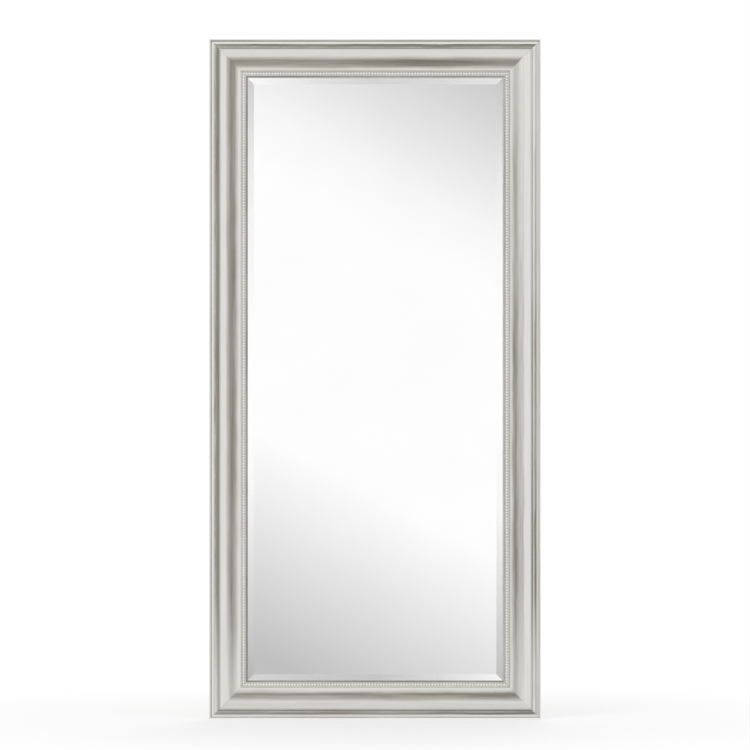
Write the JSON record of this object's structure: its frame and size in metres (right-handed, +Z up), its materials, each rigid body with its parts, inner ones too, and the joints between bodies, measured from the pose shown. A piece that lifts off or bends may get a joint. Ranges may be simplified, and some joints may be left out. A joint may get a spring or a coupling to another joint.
{
  "type": "leaning floor mirror",
  "caption": "Full-length bevelled mirror in a wide mitred silver moulding with a pearled inner slip, to lean on a wall or hang from two swinging rings.",
  "frame": {"origin": "centre of the footprint, on the plane of the bottom edge it stands on", "axes": "+Z up along the long sides, the mirror faces -Y, the wall side is +Y, +X to the right of someone looking into the mirror"},
  "size_m": [0.813, 0.0432, 1.666],
  "materials": {
    "silver_moulding": "antiqued silver leaf, satin",
    "silver_slip": "antiqued silver leaf, satin",
    "silver_pearls": "antiqued silver leaf, satin",
    "clear_glass": "polished",
    "silvering": "polished",
    "foam": "matte",
    "block_rubber": "matte",
    "fibreboard": "matte",
    "zinc_plate": "satin",
    "nail_steel": "satin",
    "bumper_rubber": "matte"
  },
  "bodies": {
    "frame": {"top_rail": "silver_moulding", "bottom_rail": "silver_moulding", "left_stile": "silver_moulding", "right_stile": "silver_moulding", "top_slip": "silver_slip", "bottom_slip": "silver_slip", "left_slip": "silver_slip", "right_slip": "silver_slip", "top_pearls": "silver_pearls", "bottom_pearls": "silver_pearls", "left_pearls": "silver_pearls", "right_pearls": "silver_pearls", "mirror_glass": "clear_glass", "silvering": "silvering", "foam_strips": "foam", "setting_blocks": "block_rubber", "backing_board": "fibreboard", "retaining_clips": "zinc_plate", "clip_screws": "zinc_plate", "hanger_screws": "zinc_plate", "bumper_screws": "zinc_plate", "left_hanger_strap": "zinc_plate", "right_hanger_strap": "zinc_plate", "corner_v_nails": "nail_steel", "wall_bumpers": "bumper_rubber"},
    "left_ring": {"left_hang_ring": "zinc_plate"},
    "right_ring": {"right_hang_ring": "zinc_plate"}
  },
  "joints": [
    {"name": "left_ring_swing", "type": "hinge", "parent": "frame", "child": "left_ring", "pos_m": [-0.3705, 0.01785, 1.331], "axis": [1, 0, 0], "range_deg": [0, 177]},
    {"name": "right_ring_swing", "type": "hinge", "parent": "frame", "child": "right_ring", "pos_m": [0.3705, 0.01785, 1.331], "axis": [1, 0, 0], "range_deg": [0, 177]}
  ]
}
